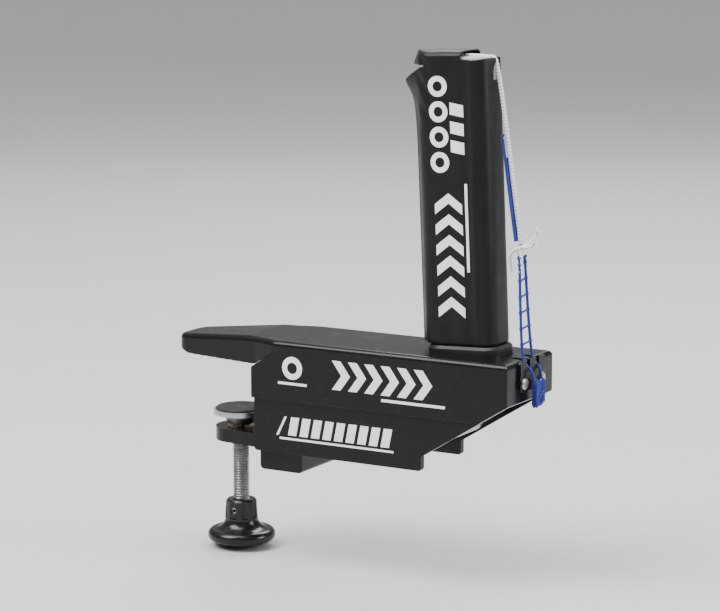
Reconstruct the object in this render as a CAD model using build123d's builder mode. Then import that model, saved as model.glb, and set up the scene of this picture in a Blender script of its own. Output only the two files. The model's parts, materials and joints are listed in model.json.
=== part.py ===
from build123d import *
import math
import os

# Table tennis net clamp, in millimetres.
# The origin lies on the tabletop at the table's edge, in the clamp's mid-plane.
# +X points outward from the table, +Y along its edge, and +Z up.
# The pad and the screw are shown closed on a tabletop of normal thickness.

os.makedirs("parts", exist_ok=True)

# ---- driving dimensions ---------------------------------------------------
board = 25.0            # thickness of the tabletop between the jaws
reach = 49.0            # how far the upper jaw lies over the table
body_length = 134.5     # table's edge to the rear wall
body_half = 22.5        # half the width of the body
top_z = 13.5            # top of the channel over the tabletop
skirt_depth = 28.0      # height of the channel's skirts
plate_bottom = -40.0    # lower edge of the side plates
sheet = 1.6             # pressed steel of the channel
plate = 3.0             # steel side plates
play = 0.1              # play between fitted plates

# upper jaw
tip_half = 11.0         # half width of the jaw at its tip
root_half = 19.0        # half width of the jaw at the table's edge
shoulder_x = 12.0       # where the jaw has flared out to the body's width
shoulder_r = 9.0        # rounding of the flare in plan
tip_r = 7.0             # rounding of the tip's corners in plan
bend_x = -5.0           # where the channel's top starts to fall to the tip
tip_top = 9.5
tip_low = 3.5
lip_z = 0.8             # lower edge of the jaw's flanges, over the pad
nose_x = -42.0          # where the nose starts to rise
rim_r = 2.4             # rounding of the channel's upper rim
ledge_slope = 0.65      # the ledge rises from the table's edge up to the channel's top
ledge_end_x = top_z / ledge_slope

# the slanted rear corner of the body
corner_low_x = 90.0     # its lower end
corner_low_z = -33.2
corner_high_z = -5.4    # its upper end, at the rear wall
corner_slope = (corner_high_z - corner_low_z) / (body_length - corner_low_x)
skirt_z = top_z - skirt_depth
skirt_end_x = corner_low_x + (skirt_z - corner_low_z) / corner_slope

# screw, pad and knob
screw_x = -20.0
screw_r = 4.0           # M8 x 1.25
bore_r = 4.08
arm_top = -34.2
arm_low = -40.6
boss_r = 12.0
bush_r = 6.5
pad_r = 13.0
rubber = 2.0
ball_r = 3.0
ball_z = -board - rubber - 1.0 - ball_r - play
neck_r = 2.1
mouth_r = 2.6
hub_top = -70.4
knob_low = -92.0
knob_r = 16.3
screw_end = -86.0

# post
post_x = 104.2          # middle of the post where it meets the channel
post_lean = 2.5         # degrees that it leans towards the net
tube_w = 31.0           # along the net
tube_t = 18.0           # across the net
tube_wall = 1.5
tube_r = 5.0
tube_top = 130.0
cap_top = 134.6
groove_play = 0.3       # the cord's groove in the cap is this much wider than the cord
nose_u = 17.6           # outermost point of the cap
nose_low = 124.0        # the cap's nose runs down outside the tube to here
nose_w = 5.0
sleeve_wall = 1.1
sleeve_gap = 0.3
sleeve_top = 137.5
collar_h = 4.0

# cord and ladder strap
cord_r = 1.1
strand_r = 0.7
notch_y = 4.5           # the two strands of the ladder lie at + and - this
notch_w = 3.4
notch_z = 8.2           # bottom of the notches in the rear wall

plate_outer = body_half - sheet - play
plate_inner = plate_outer - plate
post_plane = Plane(
    origin=(post_x, 0, top_z),
    x_dir=(math.cos(math.radians(post_lean)), 0, math.sin(math.radians(post_lean))),
    z_dir=(-math.sin(math.radians(post_lean)), 0, math.cos(math.radians(post_lean))),
)


def save(builder, name):
    """Labels a finished sub-part and writes it as one STEP file."""
    builder.part.label = name
    export_step(builder.part, f"parts/{name}.step")


def on_post(u, v, h):
    """A point given along, across and up the leaning post, in the clamp's own frame."""
    return post_plane.from_local_coords(Vector(u, v, h))


# ---- upper channel ----------------------------------------------------------
def jaw_form(inset, depth):
    """The jaw's outside as far as the ledge, or with an inset its hollow, open below by depth."""
    with BuildPart() as form:
        wide = body_half - inset
        root = root_half - inset
        tip = tip_half - inset
        tip_x = -reach + inset
        with BuildSketch(Plane.XY.offset(-depth)) as plan:
            with BuildLine():
                Polyline(
                    (ledge_end_x, wide), (shoulder_x, wide), (0, root), (tip_x, tip),
                    (tip_x, -tip), (0, -root), (shoulder_x, -wide), (ledge_end_x, -wide),
                    close=True,
                )
            make_face()
            fillet(plan.vertices().sort_by(Axis.X)[:2], tip_r - inset)
            fillet(plan.vertices().filter_by_position(Axis.X, -1, shoulder_x + 1), shoulder_r)
        extrude(amount=depth + top_z + 1)
        with BuildSketch(Plane.XZ):
            with BuildLine():
                Polyline(
                    (ledge_end_x, top_z - inset), (bend_x, top_z - inset), (tip_x, tip_top - inset),
                    (tip_x, tip_low - depth), (nose_x, lip_z - depth), (0, lip_z - depth),
                    (ledge_end_x, top_z - inset - 0.1 - depth), close=True,
                )
            make_face()
        extrude(amount=body_half + 1, both=True, mode=Mode.INTERSECT)
        tops = form.faces().filter_by(lambda face: face.normal_at().Z > 0.9)
        rims = [edge for face in tops for edge in face.edges()]
        along = [edge for edge in rims if abs(edge.center().Y) > 1 or edge.center().X < bend_x - 1]
        fillet(along, rim_r - inset)
    return form.part


def body_form(inset, depth, front):
    """The body's outside from front to the rear wall, or with an inset its hollow, open below by depth."""
    rear = body_length - inset
    drop = inset * math.hypot(1, ledge_slope)   # the sheet measured straight down under the ledge
    with BuildPart() as form:
        with BuildSketch(Plane.XZ):
            with BuildLine():
                Polyline(
                    (rear, top_z - inset), (ledge_end_x, top_z - inset),
                    (front, front * ledge_slope - drop), (front, skirt_z - depth),
                    (skirt_end_x, skirt_z - depth), (rear, corner_high_z - depth), close=True,
                )
            make_face()
        extrude(amount=body_half - inset, both=True)
        top = form.faces().filter_by(lambda face: face.normal_at().Z > 0.9)
        fillet([edge for edge in top.edges() if edge.center().X > ledge_end_x + 1], rim_r - inset)
    return form.part


jaw_outside = jaw_form(0, 0)
body_outside = body_form(0, 0, 0)
through = 30            # cuts that run right out of a piece are this deep
jaw_hollow = jaw_form(sheet, through)
body_hollow = body_form(sheet, through, -1)
foot_bolt_half = 8.0    # the two bolts of the post's foot lie this far from its middle
foot_spots = [(post_x - foot_bolt_half, 0), (post_x + foot_bolt_half, 0)]
foot_hole_r = 2.8
notch_l = 14.0

with BuildPart() as upper_channel:
    add(jaw_outside)
    add(body_outside)
    add(jaw_hollow, mode=Mode.SUBTRACT)
    add(body_hollow, mode=Mode.SUBTRACT)
    with BuildSketch(Plane.XY.offset(notch_z)):
        with Locations((body_length, notch_y), (body_length, -notch_y)):
            SlotOverall(notch_l, notch_w)
    extrude(amount=top_z, mode=Mode.SUBTRACT)
    with BuildSketch(Plane.XY):
        with Locations(*foot_spots):
            Circle(foot_hole_r)
    extrude(amount=top_z + 1, mode=Mode.SUBTRACT)
save(upper_channel, "upper_channel")

# ---- jaw core, jaw pad and backing plate --------------------------------------
core_low = 2.8          # underside of the core, where the pad is bonded on
core_t = 4.6
core_tip_x = -41.0
core_l = 67.0
core_w = 15.0
with BuildPart() as jaw_core_bar:
    with BuildSketch(Plane.XY.offset(core_low)):
        with Locations((core_tip_x + core_l / 2, 0)):
            RectangleRounded(core_l, core_w, 3)
    extrude(amount=core_t)
    chamfer(jaw_core_bar.faces().sort_by(Axis.X)[0].edges().sort_by(Axis.Z)[-1], 1.0)
save(jaw_core_bar, "jaw_core_bar")

pad_end_x = -1.5
groove_w = 1.2
groove_depth = 0.6
groove_spots = [(x, 0) for x in range(-37, -6, 5)]
with BuildPart() as jaw_pad:
    with BuildSketch() as pad_plan:
        with BuildLine():
            pad_root = root_half - sheet - 1.0
            pad_tip = tip_half - sheet + 0.2
            Polyline(
                (pad_end_x, pad_root), (nose_x, pad_tip), (nose_x, -pad_tip), (pad_end_x, -pad_root),
                close=True,
            )
        make_face()
        fillet(pad_plan.vertices(), 3)
    extrude(amount=core_low)
    with BuildSketch():
        with Locations(*groove_spots):
            Rectangle(groove_w, 2 * through)
    extrude(amount=groove_depth, mode=Mode.SUBTRACT)
save(jaw_pad, "jaw_pad")

backing_t = 3.0
backing_l = 42.0
backing_w = 32.0
with BuildPart() as foot_backing_plate:
    with BuildSketch(Plane.XY.offset(top_z - sheet)):
        with Locations((post_x, 0)):
            RectangleRounded(backing_l, backing_w, 3)
        with Locations(*foot_spots):
            Circle(foot_hole_r, mode=Mode.SUBTRACT)
    extrude(amount=-backing_t)
save(foot_backing_plate, "foot_backing_plate")


# ---- side plates ---------------------------------------------------------------
ledge_room = 4.6        # the plates stay this far below the ledge's outside
arm_screw_spots = [(15, -21), (15, -34)]
spacer_spots = [(42, -31), (70, -31), (97, -22)]
tapped_r = 2.1          # holes for the M4 screws
plate_hole_r = 2.7


def side_plate(sign):
    """One steel side plate: -1 is the near one, +1 the far one with the screw holes."""
    plate_top = 8.0
    front = 0.6
    rear = body_length - sheet - 1
    rear_z = corner_low_z + corner_slope * (rear - corner_low_x)
    with BuildPart() as flat:
        with BuildSketch(Plane.XZ.offset(-sign * plate_inner)) as outline:
            with BuildLine():
                Polyline(
                    (front, front * ledge_slope - ledge_room), (front, plate_bottom),
                    (corner_low_x, plate_bottom), (corner_low_x, corner_low_z),
                    (rear, rear_z), (rear, plate_top),
                    ((plate_top + ledge_room) / ledge_slope, plate_top), close=True,
                )
            make_face()
            if sign > 0:
                with Locations(*arm_screw_spots, *spacer_spots):
                    Circle(plate_hole_r, mode=Mode.SUBTRACT)
        extrude(amount=-sign * plate)
        across = flat.edges().filter_by(Axis.Y)
        fillet(across.filter_by_position(Axis.Z, plate_bottom - 1, plate_bottom + 1), 1.5)
    return flat


near_plate = side_plate(-1)
far_plate = side_plate(1)
save(near_plate, "side_plate_near")
save(far_plate, "side_plate_far")

bumper_t = 3.0
web_t = 2.5
web_low = arm_top + 0.8
with BuildPart() as front_web:
    with BuildSketch(Plane.XY.offset(web_low)):
        with Locations((bumper_t + web_t / 2, 0)):
            Rectangle(web_t, 2 * plate_inner)
    extrude(amount=core_low - web_low)
save(front_web, "front_web")

bumper_w = 30.0
bumper_h = 27.0
bumper_z = -15.5        # its middle
with BuildPart() as edge_bumper:
    with BuildSketch(Plane.YZ.offset(bumper_t)):
        with Locations((0, bumper_z)):
            RectangleRounded(bumper_w, bumper_h, 3)
    extrude(amount=-bumper_t)
    fillet(edge_bumper.faces().sort_by(Axis.X)[0].edges(), 0.8)
save(edge_bumper, "edge_bumper")

# ---- lower jaw arm ----------------------------------------------------------------
leg_front = bumper_t + web_t
leg_rear = 25.0
heel_front = 2.0
heel_low = -49.5
arm_root_x = heel_front + 4
arm_root_half = plate_inner - 3
pocket_h = 13.0         # a pocket in each side of the leg saves weight
pocket_z = -7.0
pocket_depth = 12.0
tapped_depth = 12.0
with BuildPart() as lower_jaw_arm:
    with BuildSketch(Plane.XZ) as leg:
        with BuildLine():
            Polyline(
                (leg_front, core_low), (leg_rear, core_low), (leg_rear, heel_low),
                (heel_front, heel_low), (heel_front, arm_low), (heel_front, arm_top),
                (leg_front, arm_top), close=True,
            )
        make_face()
        fillet(leg.vertices().sort_by(Axis.Y)[:2], 2)
    extrude(amount=plate_inner - play, both=True)
    with BuildSketch(Plane.XY.offset(arm_low)):
        with Locations((screw_x, 0)):
            Circle(boss_r)
        with BuildLine():
            Polyline(
                (screw_x, boss_r), (arm_root_x, arm_root_half),
                (arm_root_x, -arm_root_half), (screw_x, -boss_r), close=True,
            )
        make_face()
    extrude(amount=arm_top - arm_low)
    with BuildSketch(Plane.XY.offset(arm_low)):
        with Locations((screw_x, 0)):
            Circle(bush_r)
    extrude(amount=through, mode=Mode.SUBTRACT)
    for side in (-1, 1):
        with BuildSketch(Plane.XZ.offset(side * (plate_inner - play))):
            with Locations(((leg_front + leg_rear) / 2, pocket_z)):
                RectangleRounded(leg_rear - leg_front - 6, pocket_h, 2)
        extrude(amount=-side * pocket_depth, mode=Mode.SUBTRACT)
    with BuildSketch(Plane.XZ.offset(play - plate_inner)):
        with Locations(*arm_screw_spots):
            Circle(tapped_r)
    extrude(amount=tapped_depth, mode=Mode.SUBTRACT)
save(lower_jaw_arm, "lower_jaw_arm")

with BuildPart() as screw_bush:
    with BuildSketch(Plane.XY.offset(arm_low)):
        with Locations((screw_x, 0)):
            Circle(bush_r)
            Circle(bore_r, mode=Mode.SUBTRACT)
    extrude(amount=arm_top - arm_low)
    round_edges = screw_bush.edges().filter_by(GeomType.CIRCLE)
    chamfer(round_edges.filter_by(lambda edge: edge.radius < bush_r - 1), 0.5)
save(screw_bush, "screw_bush")

# ---- spacers and screws between the side plates --------------------------------------
spacer_r = 5.0
spacer_tap_depth = 14.0
with BuildPart() as spacer_posts:
    with BuildSketch(Plane.XZ.offset(plate_inner)):
        with Locations(*spacer_spots):
            Circle(spacer_r)
    extrude(amount=-2 * plate_inner)
    with BuildSketch(Plane.XZ.offset(-plate_inner)):
        with Locations(*spacer_spots):
            Circle(tapped_r)
    extrude(amount=spacer_tap_depth, mode=Mode.SUBTRACT)
save(spacer_posts, "spacer_posts")

head_h = 2.6
head_r = 4.75
shank_r = tapped_r - 0.05
shank_l = 13.0
key_r = 1.6             # hexagon socket in the head, as deep as it is wide
with BuildPart() as far_plate_screws:
    with BuildSketch(Plane.XZ.offset(-plate_outer)):
        with Locations(*arm_screw_spots, *spacer_spots):
            Circle(head_r)
    extrude(amount=-head_h)
    fillet(far_plate_screws.faces().sort_by(Axis.Y)[-5:].edges(), 1.4)
    with BuildSketch(Plane.XZ.offset(-plate_outer)):
        with Locations(*arm_screw_spots, *spacer_spots):
            Circle(shank_r)
    extrude(amount=shank_l)
    with BuildSketch(Plane.XZ.offset(-plate_outer - head_h)):
        with Locations(*arm_screw_spots, *spacer_spots):
            RegularPolygon(key_r, 6)
    extrude(amount=key_r, mode=Mode.SUBTRACT)
save(far_plate_screws, "far_plate_screws")

# ---- catch for the ladder strap on the rear wall ----------------------------------------
catch_t = 1.4
catch_w = 24.0
catch_h = 14.2
catch_z = 6.6           # its middle
notch_open_z = 15.0     # the notches run up past the catch's upper edge
rivet_r = 1.6
rivet_head_r = 2.7
rivet_head_h = 1.1
rivet_spots = [(-8.6, 3.2), (8.6, 3.2)]
with BuildPart() as strap_catch:
    with BuildSketch(Plane.YZ.offset(body_length)):
        with Locations((0, catch_z)):
            RectangleRounded(catch_w, catch_h, 2)
        with Locations((notch_y, notch_open_z), (-notch_y, notch_open_z)):
            SlotOverall(2 * (notch_open_z - notch_z), notch_w, rotation=90, mode=Mode.SUBTRACT)
        with Locations(*rivet_spots):
            Circle(rivet_r, mode=Mode.SUBTRACT)
    extrude(amount=catch_t)
save(strap_catch, "strap_catch")

with BuildPart() as catch_rivets:
    with BuildSketch(Plane.YZ.offset(body_length)):
        with Locations(*rivet_spots):
            Circle(rivet_r)
    extrude(amount=catch_t)
    with BuildSketch(Plane.YZ.offset(body_length + catch_t)):
        with Locations(*rivet_spots):
            Circle(rivet_head_r)
    extrude(amount=rivet_head_h)
    fillet(catch_rivets.faces().sort_by(Axis.X)[-2:].edges(), 0.8)
save(catch_rivets, "catch_rivets")

# ---- route of the tension cord ------------------------------------------------------------
# It starts at its stop knot inside the sleeve, lies in the cap's groove, turns down
# round the cap's nose, and runs tight to the knot on the ladder strap.
cord_h = cap_top - 0.1
knot_at = Vector(129.4, 0, 62.8)
stop_at = on_post(-12.2, 0, cord_h)
cord_route = [
    on_post(-9.8, 0, cord_h),
    on_post(15.0, 0, cord_h + 0.5),
    on_post(19.2, 0, cord_h - 3.4),
    Vector(129.0, 0, 65.8),
]


def route_radii(route):
    """The largest tangent arc at each corner that its two runs leave room for."""
    radii = []
    for before, corner, after in zip(route, route[1:], route[2:]):
        turn = math.radians((corner - before).get_angle(after - corner))
        shorter = min((corner - before).length, (after - corner).length)
        radii.append(0.45 * shorter / math.tan(turn / 2))
    return radii


def cord_tube(route, radius):
    """A round cord along straight runs joined by tangent arcs. Prints its radii and checks its volume."""
    radii = route_radii(route)
    with BuildPart() as tube:
        with BuildLine() as path:
            FilletPolyline(*route, radius=radii)
        line = path.wire()
        with BuildSketch(Plane(origin=line @ 0, z_dir=line % 0)):
            Circle(radius)
        sweep(path=line)
    share = tube.part.volume / (math.pi * radius**2 * line.length)
    print("radii", [round(value, 1) for value in radii])
    print("length", round(line.length, 1), "volume share", round(share, 3))
    return tube


# ---- post -----------------------------------------------------------------------------
plug_play = 0.1
bore_w = tube_w - 2 * (tube_wall + plug_play)
bore_t = tube_t - 2 * (tube_wall + plug_play)
bore_corner_r = tube_r - tube_wall - plug_play

with BuildPart() as post_tube:
    with BuildSketch(post_plane.offset(-2)):
        RectangleRounded(tube_w, tube_t, tube_r)
        RectangleRounded(
            tube_w - 2 * tube_wall, tube_t - 2 * tube_wall, tube_r - tube_wall, mode=Mode.SUBTRACT,
        )
    extrude(amount=tube_top + 2)
    split(bisect_by=Plane.XY.offset(top_z), keep=Keep.TOP)
save(post_tube, "post_tube")

collar_t = 3.0
with BuildPart() as post_collar:
    with BuildSketch(post_plane.offset(-2)):
        RectangleRounded(tube_w + 2 * collar_t, tube_t + 2 * collar_t, tube_r + collar_t)
        RectangleRounded(tube_w + 0.2, tube_t + 0.2, tube_r, mode=Mode.SUBTRACT)
    extrude(amount=collar_h + 2)
    split(bisect_by=Plane.XY.offset(top_z), keep=Keep.TOP)
    upper_rim = post_collar.faces().sort_by(Axis.Z)[-1].outer_wire()
    chamfer(upper_rim.edges(), 1.2)
save(post_collar, "post_collar")

bolt_r = 2.5
base_plug_h = 22.0
bolt_hole_depth = 16.0
with BuildPart() as post_base_plug:
    with BuildSketch(post_plane.offset(-2)):
        RectangleRounded(bore_w, bore_t, bore_corner_r)
    extrude(amount=base_plug_h + 2)
    split(bisect_by=Plane.XY.offset(top_z), keep=Keep.TOP)
    with BuildSketch(Plane.XY.offset(top_z)):
        with Locations(*foot_spots):
            Circle(bolt_r + 0.05)
    extrude(amount=bolt_hole_depth, mode=Mode.SUBTRACT)
save(post_base_plug, "post_base_plug")

washer_z = top_z - sheet - backing_t
washer_t = 1.0
washer_r = 5.0
with BuildPart() as foot_washers:
    with BuildSketch(Plane.XY.offset(washer_z)):
        with Locations(*foot_spots):
            Circle(washer_r)
            Circle(bolt_r + 0.15, mode=Mode.SUBTRACT)
    extrude(amount=-washer_t)
save(foot_washers, "foot_washers")

bolt_seat_z = washer_z - washer_t
bolt_head_h = 5.0
bolt_head_r = 4.25
bolt_l = 19.0
socket_r = 2.3
socket_depth = 2.5
with BuildPart() as foot_bolts:
    with BuildSketch(Plane.XY.offset(bolt_seat_z)):
        with Locations(*foot_spots):
            Circle(bolt_head_r)
    extrude(amount=-bolt_head_h)
    with BuildSketch(Plane.XY.offset(bolt_seat_z - bolt_head_h)):
        with Locations(*foot_spots):
            RegularPolygon(socket_r, 6)
    extrude(amount=socket_depth, mode=Mode.SUBTRACT)
    with BuildSketch(Plane.XY.offset(bolt_seat_z)):
        with Locations(*foot_spots):
            Circle(bolt_r)
    extrude(amount=bolt_l)
save(foot_bolts, "foot_bolts")

cord_groove = cord_tube(cord_route, cord_r + groove_play)
nose_l = 12.0
nose_rib_t = 2.0
cap_edge_r = 1.6
cap_plug_h = 9.0
knot_recess_l = 9.0     # recess in the cap's top that holds the cord's stop knot
knot_recess_w = 7.0
knot_recess_depth = 3.0
with BuildPart() as post_cap:
    with BuildSketch(post_plane.offset(tube_top)):
        RectangleRounded(tube_w, tube_t, tube_r)
        with Locations((nose_u - nose_l / 2, 0)):
            RectangleRounded(nose_l, nose_w, nose_w / 2 - 0.4)
    extrude(amount=cap_top - tube_top)
    fillet(post_cap.faces().sort_by(Axis.Z)[-1].edges(), cap_edge_r)
    with BuildSketch(post_plane.offset(nose_low)):
        with Locations((nose_u - nose_rib_t / 2, 0)):
            Rectangle(nose_rib_t, nose_w - 1)
    extrude(amount=tube_top - nose_low)
    with BuildSketch(post_plane.offset(tube_top)):
        RectangleRounded(bore_w, bore_t, bore_corner_r)
    extrude(amount=-cap_plug_h)
    add(cord_groove.part, mode=Mode.SUBTRACT)
    with BuildSketch(post_plane.offset(cap_top - knot_recess_depth)):
        with Locations((-tube_w / 2 + 3, 0)):
            RectangleRounded(knot_recess_l, knot_recess_w, 2)
    extrude(amount=knot_recess_depth + 2, mode=Mode.SUBTRACT)
save(post_cap, "post_cap")


# ---- net sleeve ------------------------------------------------------------------------
hem_h = collar_h + 0.4
seam_out = 6.5          # how far the seam stands out from the post towards the net
open_rim_u = 4.6        # the sleeve's top is open outward of here
open_rim_h = 134.2      # rim of the open part
slot_low = 126.0        # slot on the net's side, where the net's cord and tape go in
slot_h = 4.8


def sleeve_form(grow, top):
    """A drop-shaped tube round the post, drawn in to a seam on the net's side."""
    half_t = tube_t / 2 + grow
    outer_u = tube_w / 2 + grow
    inner_u = -tube_w / 2
    seam_u = inner_u - seam_out - grow
    seam_half = 1.6 + grow / 2
    with BuildPart() as form:
        with BuildSketch(post_plane.offset(hem_h)) as section:
            with BuildLine():
                Polyline(
                    (outer_u, half_t), (inner_u, half_t), (seam_u, seam_half),
                    (seam_u, -seam_half), (inner_u, -half_t), (outer_u, -half_t), close=True,
                )
            make_face()
            fillet(section.vertices().sort_by(Axis.X)[-2:], tube_r + grow)
            fillet(section.vertices().filter_by_position(Axis.X, inner_u - 1, inner_u + 1), 6)
        extrude(amount=top - hem_h)
    return form.part


sleeve_outside = sleeve_form(sleeve_gap + sleeve_wall, sleeve_top)
sleeve_hollow = sleeve_form(sleeve_gap, sleeve_top - sleeve_wall)

with BuildPart() as net_sleeve:
    add(sleeve_outside)
    add(sleeve_hollow, mode=Mode.SUBTRACT)
    with BuildSketch(post_plane.offset(nose_low - 0.5)):
        with Locations((tube_w / 2, 0)):
            Rectangle(20, nose_w + 2)
    extrude(amount=through, mode=Mode.SUBTRACT)
    with BuildSketch(post_plane.offset(open_rim_h)):
        with Locations((open_rim_u + 10, 0)):
            Rectangle(20, through)
    extrude(amount=through, mode=Mode.SUBTRACT)
    with BuildSketch(post_plane.offset(slot_low)):
        with Locations((-tube_w / 2 - 7, 0)):
            Rectangle(10, through)
    extrude(amount=slot_h, mode=Mode.SUBTRACT)
save(net_sleeve, "net_sleeve")

# ---- tension cord and its knots --------------------------------------------------------
tension_cord = cord_tube(cord_route, cord_r)
save(tension_cord, "tension_cord")

stop_knot_l = 4.6
stop_knot_r = 1.7
with BuildPart() as cord_stop_knot:
    stop_plane = Plane(origin=stop_at, x_dir=(0, 1, 0), z_dir=post_plane.x_dir)
    with BuildSketch(stop_plane.offset(-stop_knot_l / 2)):
        Circle(stop_knot_r)
    extrude(amount=stop_knot_l)
    fillet(cord_stop_knot.edges().filter_by(GeomType.CIRCLE), 0.8)
save(cord_stop_knot, "cord_stop_knot")

knot_half = 3.0
cord_run = (cord_route[3] - cord_route[2]).normalized()
with BuildPart() as cord_knot:
    knot_plane = Plane(origin=knot_at, x_dir=(0, 1, 0), z_dir=cord_run)
    with BuildSketch(knot_plane.offset(-knot_half)):
        Ellipse(3.2, 2.4)
    extrude(amount=2 * knot_half)
save(cord_knot, "cord_knot")

# each loose end's start and tip, counted from the knot's middle
tail_ends = [
    (Vector(2.6, 1.2, 1.5), Vector(8.2, 3.6, 6.5)),
    (Vector(2.6, -0.8, 0.4), Vector(9.2, -2.0, 2.4)),
]
tail_r = 1.0
with BuildPart() as cord_knot_tails:
    for start, end in tail_ends:
        with BuildSketch(Plane(origin=knot_at + start, z_dir=(end - start).normalized())):
            Circle(tail_r)
        extrude(amount=(end - start).length)
save(cord_knot_tails, "cord_knot_tails")

# ---- ladder strap ----------------------------------------------------------------------
# Two strands hang from the knot, go through the notches in the rear wall, and end
# in the spare ladder that hangs behind it. The rungs join them.


def strand_route(sign):
    """From the knot down to the notch, out through it, and down behind the rear wall."""
    return [
        Vector(129.9, sign * 2.6, 59.2),
        Vector(131.9, sign * notch_y, 17.0),
        Vector(134.6, sign * notch_y, 10.6),
        Vector(137.9, sign * (notch_y - 0.3), 8.0),
        Vector(138.4, sign * (notch_y - 0.9), 3.6),
    ]


ladder_strand_near = cord_tube(strand_route(-1), strand_r)
ladder_strand_far = cord_tube(strand_route(1), strand_r)
save(ladder_strand_near, "ladder_strand_near")
save(ladder_strand_far, "ladder_strand_far")

rung_step = 7.2
rung_r = 0.6
rung_count = 6
first_rung = 3.0        # the highest rung lies this far down the strands
with BuildPart() as ladder_rungs:
    top_pair = strand_route(1)[0]
    low_pair = strand_route(1)[1]
    for number in range(rung_count):
        share = (number * rung_step + first_rung) / (top_pair - low_pair).length
        centre = top_pair + (low_pair - top_pair) * share
        gap = 2 * (centre.Y - strand_r) - 0.1
        with BuildSketch(Plane.XZ.offset(-gap / 2)):
            with Locations((centre.X, centre.Z)):
                Circle(rung_r)
        extrude(amount=gap)
save(ladder_rungs, "ladder_rungs")

bundle_x = 138.6
bundle_top = 3.4
bundle_l = 13.0
with BuildPart() as ladder_tail_bundle:
    with BuildSketch(Plane.XY.offset(bundle_top)):
        with Locations((bundle_x, 0)):
            RectangleRounded(3.6, 9.6, 1.5)
    extrude(amount=-bundle_l)
save(ladder_tail_bundle, "ladder_tail_bundle")

top_tail_route = [Vector(127.4, -1.9, 66.2), Vector(123.6, -2.3, 92.0), Vector(120.6, -1.9, 112.0)]
ladder_top_tail = cord_tube(top_tail_route, strand_r)
save(ladder_top_tail, "ladder_top_tail")

# ---- pressure pad ----------------------------------------------------------------------
cup_top = -board - rubber
rim_in = 1.0            # the rubber disc sits in a shallow rim of this width and height
mouth_z = ball_z - math.sqrt((ball_r + play) ** 2 - mouth_r**2)
screw_axis = Axis((screw_x, 0, 0), (0, 0, 1))
with BuildPart() as pressure_pad:
    with BuildSketch(Plane.XZ):
        with BuildLine():
            Polyline(
                (screw_x, cup_top), (screw_x + pad_r - rim_in, cup_top),
                (screw_x + pad_r - rim_in, cup_top + rim_in), (screw_x + pad_r, cup_top + rim_in),
                (screw_x + pad_r, cup_top - 1.4),
                (screw_x + 8, cup_top - 2.2), (screw_x + 6.6, mouth_z), (screw_x, mouth_z), close=True,
            )
        make_face()
    revolve(axis=screw_axis)
    with BuildSketch(Plane.XY.offset(mouth_z - 1)):
        with Locations((screw_x, 0)):
            Circle(mouth_r)
    extrude(amount=ball_z - mouth_z + 1, mode=Mode.SUBTRACT)
    with Locations((screw_x, 0, ball_z)):
        Sphere(ball_r + play, mode=Mode.SUBTRACT)
save(pressure_pad, "pressure_pad")

with BuildPart() as pad_rubber:
    with BuildSketch(Plane.XY.offset(cup_top)):
        with Locations((screw_x, 0)):
            Circle(pad_r - rim_in - 0.05)
    extrude(amount=rubber)
    chamfer(pad_rubber.faces().sort_by(Axis.Z)[-1].edges(), 0.5)
save(pad_rubber, "pad_rubber")

# ---- screw and knob --------------------------------------------------------------------
shank_top = mouth_z - 1.8
pin_r = 1.5
pin_drop = 5.0          # the pin lies this far below the hub's top
pin_plane = Plane(origin=(screw_x, 0, hub_top - pin_drop), z_dir=(0, 1, 0))
with BuildPart() as clamp_screw:
    with Locations((screw_x, 0, ball_z)):
        Sphere(ball_r)
    with BuildSketch(Plane.XY.offset(ball_z)):
        with Locations((screw_x, 0)):
            Circle(neck_r)
    extrude(amount=shank_top - ball_z)
    with BuildSketch(Plane.XY.offset(shank_top)):
        with Locations((screw_x, 0)):
            Circle(screw_r)
    extrude(amount=screw_end - shank_top)
    shank_rim = clamp_screw.edges().filter_by_position(Axis.Z, shank_top - 0.1, shank_top + 0.1)
    chamfer(shank_rim.sort_by(SortBy.RADIUS)[-1], 0.8)
    with Locations(pin_plane):
        Cylinder(pin_r, through, mode=Mode.SUBTRACT)
save(clamp_screw, "clamp_screw")

hub_r = 7.4
flute_count = 8
flute_r = 2.2
flute_l = 9.0
plug_r = 7.0
plug_recess = 3.0
with BuildPart() as screw_knob:
    with BuildSketch(Plane.XZ):
        with BuildLine():
            l1 = Line((screw_x, knob_low + 1), (screw_x, hub_top))
            l2 = Line(l1 @ 1, (screw_x + hub_r - 0.8, hub_top))
            l3 = Line(l2 @ 1, (screw_x + hub_r, hub_top - 0.8))
            l4 = Line(l3 @ 1, (screw_x + hub_r + 0.6, -80.4))
            l5 = ThreePointArc(l4 @ 1, (screw_x + 9.9, -83.6), (screw_x + 14.0, -84.9))
            l6 = ThreePointArc(l5 @ 1, (screw_x + knob_r, -87.4), (screw_x + 14.6, -90.6))
            l7 = Line(l6 @ 1, (screw_x + 11.5, knob_low))
            l8 = Line(l7 @ 1, (screw_x + 9.5, knob_low))
            l9 = Line(l8 @ 1, (screw_x + 9.0, knob_low + 1))
            Line(l9 @ 1, l1 @ 0)
        make_face()
    revolve(axis=screw_axis)
    with BuildSketch(Plane.XY.offset(hub_top)):
        with Locations((screw_x, 0)):
            with PolarLocations(hub_r + 1.7, flute_count):
                Circle(flute_r)
    extrude(amount=-flute_l, mode=Mode.SUBTRACT)
    with BuildSketch(Plane.XY.offset(hub_top)):
        with Locations((screw_x, 0)):
            Circle(screw_r)
    extrude(amount=screw_end - hub_top, mode=Mode.SUBTRACT)
    with BuildSketch(Plane.XY.offset(knob_low)):
        with Locations((screw_x, 0)):
            Circle(plug_r)
    extrude(amount=plug_recess, mode=Mode.SUBTRACT)
    with Locations(pin_plane):
        Cylinder(pin_r, through, mode=Mode.SUBTRACT)
save(screw_knob, "screw_knob")

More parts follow.
